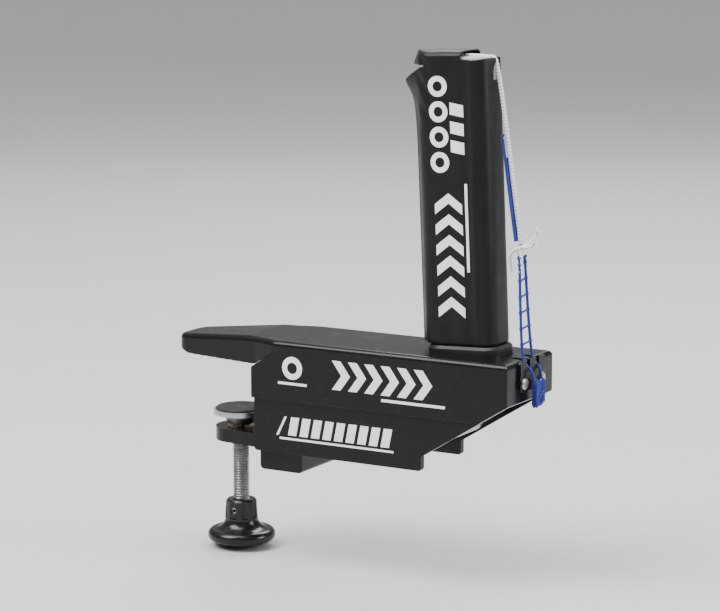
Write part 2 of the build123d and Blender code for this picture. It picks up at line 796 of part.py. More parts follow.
pin_l = 13.0
pin_wall = 0.7
with BuildPart() as knob_pin:
    with Locations(pin_plane):
        Cylinder(pin_r, pin_l)
        Cylinder(pin_r - pin_wall, pin_l, mode=Mode.SUBTRACT)
save(knob_pin, "knob_pin")

with BuildPart() as knob_plug:
    with BuildSketch(Plane.XY.offset(knob_low + 1)):
        with Locations((screw_x, 0)):
            Circle(plug_r - play)
    extrude(amount=plug_recess - 1)
    chamfer(knob_plug.faces().sort_by(Axis.Z)[0].edges(), 0.6)
save(knob_plug, "knob_plug")
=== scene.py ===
import json
import math
import random

import bpy
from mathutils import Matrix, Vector


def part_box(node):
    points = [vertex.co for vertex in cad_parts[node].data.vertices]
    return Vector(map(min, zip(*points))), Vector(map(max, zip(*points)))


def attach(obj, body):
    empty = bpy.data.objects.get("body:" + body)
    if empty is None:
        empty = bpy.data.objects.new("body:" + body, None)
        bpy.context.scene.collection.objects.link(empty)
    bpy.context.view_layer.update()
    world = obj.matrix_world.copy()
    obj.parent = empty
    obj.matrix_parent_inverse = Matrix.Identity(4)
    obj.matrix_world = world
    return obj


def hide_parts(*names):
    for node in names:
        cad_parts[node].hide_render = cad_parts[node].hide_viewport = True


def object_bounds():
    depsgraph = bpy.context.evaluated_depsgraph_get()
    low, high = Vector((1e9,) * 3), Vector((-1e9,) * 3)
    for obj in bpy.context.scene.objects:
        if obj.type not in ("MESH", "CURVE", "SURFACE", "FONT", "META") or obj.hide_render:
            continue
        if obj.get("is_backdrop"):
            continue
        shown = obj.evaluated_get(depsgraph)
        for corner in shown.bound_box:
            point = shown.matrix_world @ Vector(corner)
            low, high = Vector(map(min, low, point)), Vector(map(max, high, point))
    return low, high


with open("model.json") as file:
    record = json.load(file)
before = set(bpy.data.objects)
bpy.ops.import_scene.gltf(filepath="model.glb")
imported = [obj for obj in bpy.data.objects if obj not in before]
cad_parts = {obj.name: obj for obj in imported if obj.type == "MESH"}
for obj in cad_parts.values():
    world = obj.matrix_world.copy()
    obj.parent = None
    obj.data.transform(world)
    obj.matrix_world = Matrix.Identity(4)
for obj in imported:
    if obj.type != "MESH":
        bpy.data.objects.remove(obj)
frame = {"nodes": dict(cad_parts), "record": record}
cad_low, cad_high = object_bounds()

# Looks for the table tennis net clamp. Metres, in the CAD frame: the origin is on the
# tabletop at the table's edge, +X points outward, +Y along the edge and +Z up.

MM = 0.001
scene = bpy.context.scene
random.seed(7)
mounts = {mount["name"]: mount for mount in frame["record"]["mounts"]}

# ---- the leaning post's own directions ------------------------------------------------
channel_low, channel_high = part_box("upper_channel")
post_up = Vector(mounts["net_post"]["axis"]).normalized()
post_out = Vector((post_up.z, 0, -post_up.x))
post_mid = Vector(mounts["net_post"]["pos_m"])
post_foot = post_mid + post_up * ((channel_high.z - post_mid.z) / post_up.z)     # on the channel's top


def on_post(u, v, h):
    """A point given in millimetres along, across and up the leaning post."""
    return post_foot + (post_out * u + post_up * h) * MM + Vector((0, v * MM, 0))


def smooth_step(x, low, high):
    """0 below low, 1 above high, and a smooth S between them."""
    t = min(1.0, max(0.0, (x - low) / (high - low)))
    return t * t * (3 - 2 * t)


# ---- node helpers -------------------------------------------------------------------------
class Shader:
    """A material's node tree, with short calls for the nodes that the materials share."""

    def __init__(self, name):
        self.material = bpy.data.materials.new(name)
        self.material.use_nodes = True
        self.nodes = self.material.node_tree.nodes
        self.links = self.material.node_tree.links
        self.surface = self.nodes["Principled BSDF"]
        self.place = self.nodes.new("ShaderNodeTexCoord").outputs["Object"]

    def link(self, source, target):
        self.links.new(source, target)

    def set(self, **values):
        """Constants on the shader's own sockets, such as Coat_Weight=0.3."""
        for key, value in values.items():
            self.surface.inputs[key.replace("_", " ")].default_value = value

    def scaled(self, scale):
        """The object's coordinates, stretched by a scale along each axis."""
        mapping = self.nodes.new("ShaderNodeMapping")
        mapping.inputs["Scale"].default_value = scale
        self.link(self.place, mapping.inputs["Vector"])
        return mapping.outputs["Vector"]

    def noise(self, scale, detail=4, roughness=0.55, place=None):
        """Soft clouds or specks, scale of them to a metre."""
        node = self.nodes.new("ShaderNodeTexNoise")
        node.inputs["Scale"].default_value = scale
        node.inputs["Detail"].default_value = detail
        node.inputs["Roughness"].default_value = roughness
        self.link(place or self.place, node.inputs["Vector"])
        return node.outputs["Fac"]

    def cells(self, scale):
        """The distance from the edges of small cells, scale of them to a metre."""
        node = self.nodes.new("ShaderNodeTexVoronoi")
        node.feature = "DISTANCE_TO_EDGE"
        node.inputs["Scale"].default_value = scale
        self.link(self.place, node.inputs["Vector"])
        return node.outputs["Distance"]

    def spread(self, value, low, high, to_low=0.0, to_high=1.0):
        """A value's range from low to high, stretched to another range and held inside it."""
        node = self.nodes.new("ShaderNodeMapRange")
        node.inputs["From Min"].default_value = low
        node.inputs["From Max"].default_value = high
        node.inputs["To Min"].default_value = to_low
        node.inputs["To Max"].default_value = to_high
        self.link(value, node.inputs["Value"])
        return node.outputs["Result"]

    def math(self, operation, first, second):
        """A sum or product of two values, each a number or another node's output."""
        node = self.nodes.new("ShaderNodeMath")
        node.operation = operation
        for socket, value in zip(node.inputs, (first, second)):
            if isinstance(value, (int, float)):
                socket.default_value = value
            else:
                self.link(value, socket)
        return node.outputs["Value"]

    def mix(self, share, first, second):
        """A colour between two, each a tuple or another node's colour."""
        node = self.nodes.new("ShaderNodeMix")
        node.data_type = "RGBA"
        self.link(share, node.inputs["Factor"])
        for socket, value in ((node.inputs["A"], first), (node.inputs["B"], second)):
            if isinstance(value, tuple):
                socket.default_value = (*value, 1)
            else:
                self.link(value, socket)
        return node.outputs["Result"]

    def edges(self, radius):
        """1 on sharp edges and 0 on flats, from how far a bevel of this radius turns the surface."""
        bevel = self.nodes.new("ShaderNodeBevel")
        bevel.samples = 6
        bevel.inputs["Radius"].default_value = radius
        facing = self.nodes.new("ShaderNodeNewGeometry").outputs["Normal"]
        dot = self.nodes.new("ShaderNodeVectorMath")
        dot.operation = "DOT_PRODUCT"
        self.link(bevel.outputs["Normal"], dot.inputs[0])
        self.link(facing, dot.inputs[1])
        return self.spread(dot.outputs["Value"], 0.995, 0.86)

    def bump(self, height, distance, strength, under=None):
        """A normal that rises and falls by distance, laid over another bump where one is given."""
        node = self.nodes.new("ShaderNodeBump")
        node.inputs["Strength"].default_value = strength
        node.inputs["Distance"].default_value = distance
        self.link(height, node.inputs["Height"])
        if under is not None:
            self.link(under, node.inputs["Normal"])
        return node.outputs["Normal"]

    def finish(self, colour, roughness=None, normal=None):
        """Link what varies over the surface, and give the material."""
        for socket, value in (("Base Color", colour), ("Roughness", roughness), ("Normal", normal)):
            if value is not None:
                self.link(value, self.surface.inputs[socket])
        return self.material


# ---- materials ------------------------------------------------------------------------
def black_enamel(name, rough, wear):
    """Black baked enamel on pressed steel: orange peel, faint cloudiness, dust and thin worn edges."""
    dark, light = (0.0032, 0.0032, 0.0036), (0.0066, 0.0067, 0.0074)
    dust_grey = (0.075, 0.073, 0.07)
    worn_grey = (0.17, 0.165, 0.16)
    s = Shader(name)
    dust = s.spread(s.noise(160, detail=8, roughness=0.7), 0.56, 0.74, to_high=0.10)
    chips = s.spread(s.noise(520, detail=4, roughness=0.7), 0.5, 0.62, to_high=wear)
    worn = s.math("MULTIPLY", s.edges(0.45 * MM), chips)
    base = s.mix(s.noise(34, detail=5), dark, light)
    base = s.mix(dust, base, dust_grey)
    base = s.mix(worn, base, worn_grey)
    roughness = s.spread(s.noise(70, detail=6), 0.3, 0.75, *rough)
    roughness = s.math("ADD", roughness, s.math("MULTIPLY", dust, 0.25))
    peel = s.bump(s.noise(620, detail=2), 0.05 * MM, 0.35)
    normal = s.bump(s.noise(900, detail=3), 0.01 * MM, 0.3, under=peel)
    s.set(Specular_IOR_Level=0.19, Coat_Weight=0.06, Coat_Roughness=0.08)
    return s.finish(base, roughness, normal)


def brushed_metal(name, tint, rough, along):
    """Plated or bare metal, brushed along one axis, with a few darker patches."""
    brush_scale = tuple(60 if axis == along else 1400 for axis in "XYZ")
    darker = tuple(value * 0.74 for value in tint)
    s = Shader(name)
    brush = s.noise(1.0, detail=3, place=s.scaled(brush_scale))
    cloud = s.noise(110, detail=6, roughness=0.65)
    base = s.mix(s.spread(cloud, 0.35, 0.7), darker, tint)
    roughness = s.spread(s.math("ADD", brush, cloud), 0.7, 1.3, *rough)
    normal = s.bump(brush, 0.012 * MM, 0.35)
    s.set(Metallic=1.0)
    return s.finish(base, roughness, normal)


def moulded_plastic(name, dark, light, rough, grain):
    """Injection-moulded plastic: a soft mould grain, flow clouds and lighter rubbed edges."""
    rubbed_colour = tuple(value * 1.6 + 0.035 for value in light)
    s = Shader(name)
    cloud = s.noise(60, detail=4)
    scuffs = s.spread(s.noise(240, detail=8, roughness=0.75), 0.6, 0.78, to_high=0.12)
    patches = s.spread(s.noise(380, detail=3), 0.45, 0.65, to_high=0.55)
    rubbed = s.math("MULTIPLY", s.edges(0.5 * MM), patches)
    base = s.mix(rubbed, s.mix(cloud, dark, light), rubbed_colour)
    roughness = s.math("ADD", s.spread(cloud, 0.3, 0.7, *rough), scuffs)
    normal = s.bump(s.noise(grain, detail=2), 0.03 * MM, 0.3)
    s.set(Specular_IOR_Level=0.36)
    return s.finish(base, roughness, normal)


def rubber(name):
    """Matt black rubber with a fine pebble, and grey where it has rubbed."""
    dark, light = (0.006, 0.006, 0.006), (0.015, 0.015, 0.0145)
    chalk_grey = (0.11, 0.11, 0.105)
    s = Shader(name)
    patches = s.spread(s.noise(300, detail=5), 0.42, 0.7, to_high=0.6)
    chalk = s.math("MULTIPLY", s.edges(0.6 * MM), patches)
    base = s.mix(chalk, s.mix(s.noise(90, detail=6), dark, light), chalk_grey)
    roughness = s.spread(s.noise(140, detail=5), 0.3, 0.7, 0.62, 0.85)
    normal = s.bump(s.cells(1500), 0.05 * MM, 0.3)
    return s.finish(base, roughness, normal)


def vinyl(name):
    """Black vinyl on cloth: a fine leather grain under a soft gloss."""
    dark, light = (0.0042, 0.0042, 0.0048), (0.0088, 0.0088, 0.0096)
    scuff_grey = (0.06, 0.06, 0.06)
    s = Shader(name)
    scuffs = s.spread(s.noise(210, detail=9, roughness=0.75), 0.6, 0.8, to_high=0.25)
    base = s.mix(scuffs, s.mix(s.noise(28, detail=5), dark, light), scuff_grey)
    roughness = s.spread(s.noise(75, detail=6), 0.3, 0.7, 0.33, 0.5)
    roughness = s.math("ADD", roughness, s.math("MULTIPLY", scuffs, 0.3))
    soft = s.bump(s.noise(95, detail=3), 0.35 * MM, 0.35)
    leather = s.bump(s.spread(s.cells(1300), 0.0, 0.22), 0.04 * MM, 0.4, under=soft)
    normal = s.bump(s.noise(2600, detail=2), 0.012 * MM, 0.3, under=leather)
    s.set(Specular_IOR_Level=0.22, Sheen_Weight=0.015, Sheen_Roughness=0.5)
    return s.finish(base, roughness, normal)


def cord_fibre(name, dark, light, valley_shade, fibre_scale):
    """Twisted or braided yarn: specks of fibre, painted shade in the valleys between strands, and fuzz."""
    s = Shader(name)
    fibre = s.noise(fibre_scale, detail=4, roughness=0.7)
    cloud = s.noise(190, detail=4)
    depth = s.nodes.new("ShaderNodeAttribute")
    depth.attribute_name = "valley"
    base = s.mix(s.math("MULTIPLY", s.math("ADD", fibre, cloud), 0.5), dark, light)
    # painted shade: the yarn's colour is drawn towards valley_shade where the valleys between its strands
    # are deep
    base = s.mix(s.spread(depth.outputs["Fac"], 0.35, 1.0, to_high=0.8), base, valley_shade)
    normal = s.bump(fibre, 0.06 * MM, 0.5)
    s.set(Roughness=0.82, Sheen_Weight=0.35, Sheen_Roughness=0.4, Specular_IOR_Level=0.3)
    return s.finish(base, None, normal)


def print_ink(name):
    """White screen-print ink, a little uneven and rubbed through in specks."""
    dark, light = (0.88, 0.89, 0.90), (0.95, 0.955, 0.96)
    rubbed_grey = (0.12, 0.12, 0.12)
    s = Shader(name)
    specks = s.spread(s.noise(700, detail=8, roughness=0.75), 0.66, 0.74, to_high=0.7)
    base = s.mix(specks, s.mix(s.noise(150, detail=4), dark, light), rubbed_grey)
    roughness = s.spread(s.noise(90, detail=4), 0.3, 0.7, 0.45, 0.62)
    normal = s.bump(s.noise(1100, detail=3), 0.012 * MM, 0.4)
    return s.finish(base, roughness, normal)


def pale_floor(name):
    """A plain pale studio floor with the faintest mottling."""
    dark, light = (0.50, 0.50, 0.50), (0.525, 0.525, 0.525)
    s = Shader(name)
    base = s.mix(s.noise(3, detail=3), dark, light)
    roughness = s.spread(s.noise(9, detail=3), 0.3, 0.7, 0.75, 0.9)
    return s.finish(base, roughness)


enamel = black_enamel("black_enamel_outer", rough=(0.19, 0.31), wear=0.32)
enamel_inner = black_enamel("black_enamel_inner", rough=(0.36, 0.52), wear=0.3)
enamel_catch = black_enamel("black_enamel_catch", rough=(0.28, 0.42), wear=1.6)
zinc = brushed_metal("zinc_plated_steel", tint=(0.52, 0.52, 0.50), rough=(0.26, 0.42), along="X")
screw_steel = brushed_metal("bright_screw_steel", tint=(0.40, 0.40, 0.39), rough=(0.24, 0.4), along="Y")
bush_brass = brushed_metal("turned_brass", tint=(0.66, 0.47, 0.2), rough=(0.22, 0.38), along="Z")
black_rubber = rubber("ribbed_black_rubber")
knob_plastic = moulded_plastic(
    "gloss_black_plastic", (0.0045, 0.0045, 0.005), (0.009, 0.009, 0.0098), rough=(0.16, 0.3), grain=900
)
satin_plastic = moulded_plastic(
    "satin_black_plastic", (0.006, 0.006, 0.0066), (0.012, 0.012, 0.013), rough=(0.34, 0.48), grain=1300
)
cap_plastic = moulded_plastic(
    "pale_grey_plastic", (0.27, 0.29, 0.295), (0.35, 0.37, 0.375), rough=(0.34, 0.48), grain=1100
)
sleeve_vinyl = vinyl("black_vinyl")
# the third colour of each yarn is the painted shade in the valleys between its strands
white_yarn = cord_fibre(
    "white_braided_yarn", (0.80, 0.80, 0.79), (0.95, 0.95, 0.945), (0.26, 0.26, 0.27), 3600
)
blue_yarn = cord_fibre(
    "blue_twisted_yarn", (0.012, 0.020, 0.20), (0.030, 0.052, 0.38), (0.005, 0.008, 0.08), 3000
)
black_thread = cord_fibre(
    "black_sewing_thread", (0.014, 0.014, 0.015), (0.04, 0.04, 0.042), (0.006, 0.006, 0.006), 5000
)
ink = print_ink("white_print_ink")

# ---- finishes on the CAD pieces -----------------------------------------------------------
finishes = {
    "upper_channel": enamel,
    "side_plate_near": enamel,
    "side_plate_far": enamel,
    "lower_jaw_arm": enamel,
    "jaw_core_bar": enamel_inner,
    "foot_backing_plate": enamel_inner,
    "front_web": enamel_inner,
    "post_tube": enamel_inner,
    "strap_catch": enamel_catch,
    "jaw_pad": black_rubber,
    "edge_bumper": black_rubber,
    "pad_rubber": black_rubber,
    "screw_bush": bush_brass,
    "spacer_posts": zinc,
    "far_plate_screws": zinc,
    "catch_rivets": zinc,
    "foot_washers": zinc,
    "foot_bolts": zinc,
    "pressure_pad": zinc,
    "knob_pin": screw_steel,
    "screw_knob": knob_plastic,
    "knob_plug": satin_plastic,
    "post_collar": satin_plastic,
    "post_base_plug": satin_plastic,
    "post_cap": cap_plastic,
}
for node, finish in finishes.items():
    held = frame["nodes"][node].data.materials
    held.clear()
    held.append(finish)


# ---- mesh helpers ---------------------------------------------------------------------------
valley_share = 0.24     # depth of the valleys between a cord's strands, as a share of its radius


def make_piece(name, points, faces, finish, body, valley=None):
    """A smooth-shaded mesh piece that rides on a CAD body. valley is a yarn's depth at each point, which the
    yarn's material turns into painted shade.
    """
    mesh = bpy.data.meshes.new(name)
    mesh.from_pydata([tuple(point) for point in points], [], faces)
    mesh.update()
    mesh.materials.append(finish)
    for face in mesh.polygons:
        face.use_smooth = True
    if valley is not None:
        depth = mesh.attributes.new("valley", "FLOAT", "POINT")
        depth.data.foreach_set("value", valley)
    piece = bpy.data.objects.new(name, mesh)
    scene.collection.objects.link(piece)
    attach(piece, body)
    return piece


def spline_line(route):
    """Points along the smooth NURBS spline whose control points are a route's."""
    curve = bpy.data.curves.new("route", "CURVE")
    curve.dimensions = "3D"
    curve.resolution_u = 24
    spline = curve.splines.new("NURBS")
    spline.points.add(len(route) - 1)
    for point, place in zip(spline.points, route):
        point.co = (*place, 1)
    spline.order_u = 3
    spline.use_endpoint_u = True
    holder = bpy.data.objects.new("route", curve)
    mesh = bpy.data.meshes.new_from_object(holder)
    line = [vertex.co.copy() for vertex in mesh.vertices]
    bpy.data.meshes.remove(mesh)
    bpy.data.objects.remove(holder)
    bpy.data.curves.remove(curve)
    return line


def evenly(line, step):
    """The same line with points an even step apart."""
    lengths = [0.0]
    for before, after in zip(line, line[1:]):
        lengths.append(lengths[-1] + (after - before).length)
    count = max(2, round(lengths[-1] / step))
    points = []
    run = 0
    for number in range(count + 1):
        along = lengths[-1] * number / count
        while run < len(lengths) - 2 and lengths[run + 1] < along:
            run += 1
        share = (along - lengths[run]) / max(lengths[run + 1] - lengths[run], 1e-12)
        points.append(line[run].lerp(line[run + 1], min(1.0, share)))
    return points


def line_length(line):
    """The length of a line of points."""
    return sum((after - before).length for before, after in zip(line, line[1:]))


def tube_mesh(line, sides, section):
    """Points, faces and valley depths of a closed tube along a line.

    section gives the tube's radius and valley depth for an angle and a length along it.
    """
    points = []
    faces = []
    valley = []
    heading = (line[1] - line[0]).normalized()
    side = heading.orthogonal().normalized()
    along = 0.0
    for number, centre in enumerate(line):
        before = line[max(0, number - 1)]
        after = line[min(len(line) - 1, number + 1)]
        heading = (after - before).normalized()
        side = (side - heading * side.dot(heading)).normalized()
        other = heading.cross(side)
        along += (centre - before).length
        for step in range(sides):
            angle = 2 * math.pi * step / sides
            radius, depth = section(angle, along)
            points.append(centre + (side * math.cos(angle) + other * math.sin(angle)) * radius)
            valley.append(depth)
    for ring in range(len(line) - 1):
        for step in range(sides):
            a = ring * sides + step
            b = ring * sides + (step + 1) % sides
            faces.append((a, b, b + sides, a + sides))
    last = (len(line) - 1) * sides
    faces.append(tuple(reversed(range(sides))))
    faces.append(tuple(range(last, last + sides)))
    return points, faces, valley


def braided(radius, plaits, pitch):
    """A braided cord's section: two families of strands that cross over and under."""
    def section(angle, along):
        turn = 2 * math.pi * along / pitch
        over = math.cos(plaits * angle + turn) * math.cos(plaits * angle - turn)
        depth = 0.5 - 0.5 * over
        return radius * (1.0 - valley_share * depth), depth
    return section


def twisted(radius, plies, pitch):
    """A twisted cord's section: a few plies laid round each other."""
    def section(angle, along):
        turn = plies * (angle - 2 * math.pi * along / pitch)
        depth = 0.5 - 0.5 * math.cos(turn)
        return radius * (1.0 - valley_share * depth**1.6), depth
    return section


def yarn_piece(name, tubes, finish):
    """One piece made of several closed tubes of yarn or thread, riding on the bracket."""
    points, faces, valley = [], [], []
    for more_points, more_faces, more_valley in tubes:
        base = len(points)
        points += more_points
        faces += [tuple(base + index for index in face) for face in more_faces]
        valley += more_valley
    return make_piece(name, points, faces, finish, "bracket", valley)


# ---- net sleeve ----------------------------------------------------------------------------
# A soft vinyl sleeve drawn over the post. It narrows to a sewn seam on the net's side, where
# a slot lets the net's cord in. Its top is closed, except over the cap's nose on the outer
# side. These sizes are in millimetres along, across and up the post, as on_post takes them.
sleeve_low_h = 4.5
rim_open_h = 134.0      # rim of the open part of the top
open_u = 4.6            # the top is open outward of here
slit_half = 2.8         # half the width of the slit for the cap's nose and the cord
half_t = 10.3           # half the sleeve's thickness across the post
outer_u = 16.8
narrow_u = -16.2        # inward of here the section narrows to the seam
seam_u = -23.2
seam_half = 1.5
slot_end_u = -14.5
slot_low_h = 124.4      # the slot's lower edge, at the seam
slot_climb = 6.2        # how far that edge slants up from the seam to the slot's end
slot_high_h = 131.0
cloth = 0.9
deepest_fold = -0.42
slot_row = 52           # the row of points along the slot's lower edge, counted from the hem
rim_row = slot_row + 3  # the row of points along the open rim
lid_rings = ((0.08, 136.7), (0.18, 137.15), (0.32, 137.4), (0.48, 137.4))   # (share drawn in, height)


def rounded_outline():
    """Half the sleeve's section, from the middle of the seam to the middle of the outer wall."""
    corners = [
        (seam_u, 0.0, 0),
        (seam_u, seam_half, 0.9),
        (narrow_u, half_t, 7.5),
        (outer_u, half_t, 6.6),
        (outer_u, 0.0, 0),
    ]
    steps = 8
    line = []
    for before, corner, after in zip([corners[0]] + corners, corners, corners[1:] + [corners[-1]]):
        place = Vector(corner[:2])
        radius = corner[2]
        if radius == 0:
            line.append(place)
            continue
        back = (Vector(before[:2]) - place).normalized()
        ahead = (Vector(after[:2]) - place).normalized()
        reach = radius / math.tan(back.angle(ahead) / 2)
        for step in range(steps + 1):
            share = step / steps
            start = place + back * reach * (1 - share)
            stop = place + ahead * reach * share
            line.append(start.lerp(stop, share))
    return line


outline = rounded_outline()
outline_length = line_length(outline)


def outline_points(count):
    """Evenly spaced (u, v, out_u, out_v) round the whole section, near side first, count a side."""
    half = evenly([Vector((p.x, -p.y, 0)) for p in outline], outline_length / count)
    whole = half + [Vector((p.x, -p.y, 0)) for p in reversed(half[1:-1])]
    ring = []
    for number, point in enumerate(whole):
        before = whole[number - 1]
        after = whole[(number + 1) % len(whole)]
        run = (after - before).normalized()
        ring.append((point.x, point.y, run.y, -run.x))
    return ring


def slot_low(u):
    """Height of the slot's lower edge, which slants up from the seam."""
    return slot_low_h + slot_climb * smooth_step(u, seam_u, slot_end_u) ** 0.8


def hump(x, middle, width):
    """1 at the middle, falling away smoothly on both sides."""
    return math.exp(-((x - middle) / width) ** 2)


def sleeve_point(u, v, out_u, out_v, h, grow=0.0):
    """Where the sleeve's outside is at (u, v, h): the section, with its folds, pulls and bulges."""
    side = -1 if v < 0 else 1
    lower = slot_low(u)
    near_seam = 1 - smooth_step(u, seam_u, -15.0)
    # a long fold near the outer edge, a groove beside it, and a fold on the seam's side
    fold = 0.55 * hump(u, 9.4 + 0.010 * (h - 60), 1.5)
    fold -= 0.40 * hump(u, 5.8 + 0.012 * (h - 60), 2.4)
    fold += 0.30 * hump(u, -8.0 - 0.02 * (h - 70), 3.0) * smooth_step(h, 20, 60)
    # diagonal drag lines below the slot, slack waves at the hem, and faint waves all over
    fold += 0.34 * smooth_step(h, 92, 124) * hump(u, -16, 6.0) * math.sin(0.55 * (h + 1.5 * u))
    fold += 0.34 * hump(h, sleeve_low_h, 9.0) * math.sin(0.55 * u + 1.0 + 0.8 * side)
    fold += 0.08 * math.sin(0.09 * h + 0.31 * u + side) + 0.05 * math.sin(0.23 * h - 0.4 * u)
    push = max(fold, deepest_fold) * smooth_step(abs(v), 6.0, half_t) + grow
    # the lips of the slit stand out and close in over the top of the cap's nose
    lips = smooth_step(h, 128.5, 132) * (1 - smooth_step(abs(v), 2.9, 5.6)) * smooth_step(u, 12, outer_u)
    push += 1.8 * lips
    new_u = u + out_u * push
    new_v = (v + out_v * push) * (1 - 0.42 * lips)
    # below the slot the seam is drawn towards the net, and above it the seam leans back
    if h <= lower + 0.01:
        new_u -= (3.2 * hump(h, lower, 5.5) + 1.5 * hump(h, lower, 15.0)) * near_seam
    new_u += 1.4 * smooth_step(h, slot_high_h, 136) * near_seam
    # the slot gapes
    if abs(v) > 0.2:
        new_v += side * 1.3 * near_seam * hump(h, 127, 7.0)
    return new_u, new_v


def wall_heights(u):
    """Heights of the sleeve's rows at u: the hem up to the slot, the slot's top, the rim, the closed top."""
    low = slot_low(u)
    below = [sleeve_low_h + (low - sleeve_low_h) * (row / slot_row) for row in range(slot_row + 1)]
    return below + [slot_high_h, 132.4, rim_open_h, 135.0, 135.8]


def sleeve_points(ring):
    """The sleeve's points, row by row up the walls and then ring by ring over the closed top."""
    wall_rows = len(wall_heights(0))
    points = []
    for row in range(wall_rows):
        grow = -0.25 if row == wall_rows - 1 else 0.0
        for u, v, out_u, out_v in ring:
            h = wall_heights(u)[row]
            new_u, new_v = sleeve_point(u, v, out_u, out_v, h, grow)
            if u > open_u and row <= rim_row:
                # the open rim dips a little between the closed top and the corner
                dip = math.sin(math.pi * min(1.0, (u - open_u) / (outer_u - open_u)))
                h -= 0.55 * dip * smooth_step(h, rim_open_h - 6, rim_open_h)
            points.append(on_post(new_u, new_v, h))
    for share, height in lid_rings:
        for u, v, out_u, out_v in ring:
            new_u, new_v = sleeve_point(u, v, out_u, out_v, 136.0, -0.3)
            middle_u = min(max(new_u, -20.5), 12.0)
            crease = 0.3 * math.sin(0.55 * new_u + 0.25 * new_v)
            points.append(on_post(
                new_u + (middle_u - new_u) * share,
                new_v * (1 - share),
                height + crease * share,
            ))
    return points


def sleeve_faces(ring):
    """The sleeve's faces, with the slot, the slit and the open part of the top left out."""
    count = len(ring)
    total_rows = len(wall_heights(0)) + len(lid_rings)
    faces = []
    for row in range(total_rows - 1):
        for column in range(count):
            after = (column + 1) % count
            u = (ring[column][0] + ring[after][0]) / 2
            v = (ring[column][1] + ring[after][1]) / 2
            in_open_top = row >= rim_row and u > open_u
            in_slot = row == slot_row and u < slot_end_u
            in_slit = row >= slot_row - 1 and u > outer_u - 1 and abs(v) < slit_half
            if not (in_open_top or in_slot or in_slit):
                low, high = row * count, (row + 1) * count
                faces.append((low + column, low + after, high + after, high + column))
    # strips across the middle of the closed top join its near and far halves
    last = (total_rows - 1) * count
    for column in range(count // 2):
        if max(ring[column][0], ring[column + 1][0]) > open_u:
            continue
        mirror = (count - column) % count
        mirror_after = (count - column - 1) % count
        face = [last + column, last + mirror, last + mirror_after, last + column + 1]
        face = list(dict.fromkeys(face))
        if len(face) > 2:
            faces.append(tuple(reversed(face)))
    return faces


def make_sleeve():
    """The sleeve: its skin, thickened to the cloth's own thickness and smoothed."""
    ring = outline_points(64)
    points = sleeve_points(ring)
    faces = sleeve_faces(ring)
    used = sorted({corner for face in faces for corner in face})
    renumber = {old: new for new, old in enumerate(used)}
    points = [points[old] for old in used]
    faces = [tuple(renumber[corner] for corner in face) for face in faces]
    piece = make_piece("net_sleeve_vinyl", points, faces, sleeve_vinyl, "bracket")
    thicken = piece.modifiers.new("cloth", "SOLIDIFY")
    thicken.thickness = cloth * MM
    thicken.offset = -1
    thicken.use_even_offset = False
    soften = piece.modifiers.new("soften", "SUBSURF")
    soften.levels = 1
    soften.render_levels = 2
    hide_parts("net_sleeve")
    return piece


sleeve = make_sleeve()

# ---- stitching along the sleeve's seam ---------------------------------------------------------
stitch_step = 3.4
stitch_len = 2.4
stitch_top_h = 119
thread_r = 0.2


def stitch_row(side):
    """Short sewn stitches down one face of the seam. Each dives into the cloth at both ends."""
    tubes = []
    h = sleeve_low_h + 2.5
    while h < stitch_top_h:
        end_h = h + stitch_len
        low_u, low_v = sleeve_point(seam_u + 1.6, side * 3.2, 0, side, h)
        high_u, high_v = sleeve_point(seam_u + 1.6, side * 3.2, 0, side, end_h)
        under, over = -0.25 * side, 0.16 * side
        line = [
            on_post(low_u, low_v + under, h),
            on_post(low_u, low_v + over, h + 0.5),
            on_post(low_u, low_v + over * 1.4, (h + end_h) / 2),
            on_post(high_u, high_v + over, end_h - 0.5),
            on_post(high_u, high_v + under, end_h),
        ]
        tubes.append(tube_mesh(evenly(line, 0.3 * MM), 8, twisted(thread_r * MM, 2, 0.9 * MM)))
        h += stitch_step
    return tubes


stitches = yarn_piece("sleeve_seam_stitches", stitch_row(-1) + stitch_row(1), black_thread)

# ---- white tension cord -----------------------------------------------------------------------
cord_r = 1.1 * MM
cord_h = 134.5
line_step = 0.16 * MM   # from ring to ring of points along a cord
tail_r = 0.85 * MM
plait = 2.6 * MM        # length over which the knots' and tails' braid repeats
cord_route = [
    on_post(-9.8, 0, cord_h),
    on_post(15.0, 0, cord_h + 0.5),
    on_post(19.2, 0, cord_h - 3.4),
    Vector((0.1290, 0, 0.0658)),
]
knot_at = Vector((0.1294, 0, 0.0628))
stop_at = on_post(-12.2, 0, cord_h)
cord_line = evenly(spline_line(cord_route), line_step)
cord_tube = tube_mesh(cord_line, 28, braided(cord_r, 5, 3.1 * MM))
tension_cord = yarn_piece("white_tension_cord", [cord_tube], white_yarn)
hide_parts("tension_cord")


def wound_knot(centre, axis, radius, turns, height, thick, tilt):
    """A cord wound round an axis, as the wraps of a tightened knot are. Sizes in millimetres."""
    axis = axis.normalized()
    side = axis.orthogonal().normalized()
    other = axis.cross(side)
    line = []
    steps = int(40 * turns)
    for number in range(steps + 1):
        share = number / steps
        angle = 2 * math.pi * turns * share
        swell = radius * (0.86 + 0.22 * math.sin(math.pi * share))
        rise = height * (share - 0.5) + tilt * math.cos(angle)
        offset = axis * rise + (side * math.cos(angle) + other * math.sin(angle)) * swell
        line.append(centre + offset * MM)
    return tube_mesh(evenly(line, 0.2 * MM), 18, braided(thick * MM, 4, plait))


def frayed_end(line, length, hairs, fan):
    """Loose filaments that fan out of a cord's cut end."""
    tubes = []
    tip = line[-1]
    heading = (line[-1] - line[-4]).normalized()
    for _ in range(hairs):
        drift = Vector([random.uniform(-1, 1) for _ in range(3)])
        drift = (drift - heading * drift.dot(heading)) * fan
        reach = length * random.uniform(0.55, 1.0)
        start = tip + drift * 0.12 * length
        hair = [
            start,
            start + (heading + drift * 0.35) * reach * 0.4,
            start + (heading + drift * 0.9) * reach * 0.75,
            start + (heading * 0.95 + drift * 1.7) * reach,
        ]
        thick = random.uniform(0.13, 0.25) * MM
        tubes.append(tube_mesh(evenly(spline_line(hair), 0.35 * MM), 6, twisted(thick, 2, 2 * MM)))
    return tubes


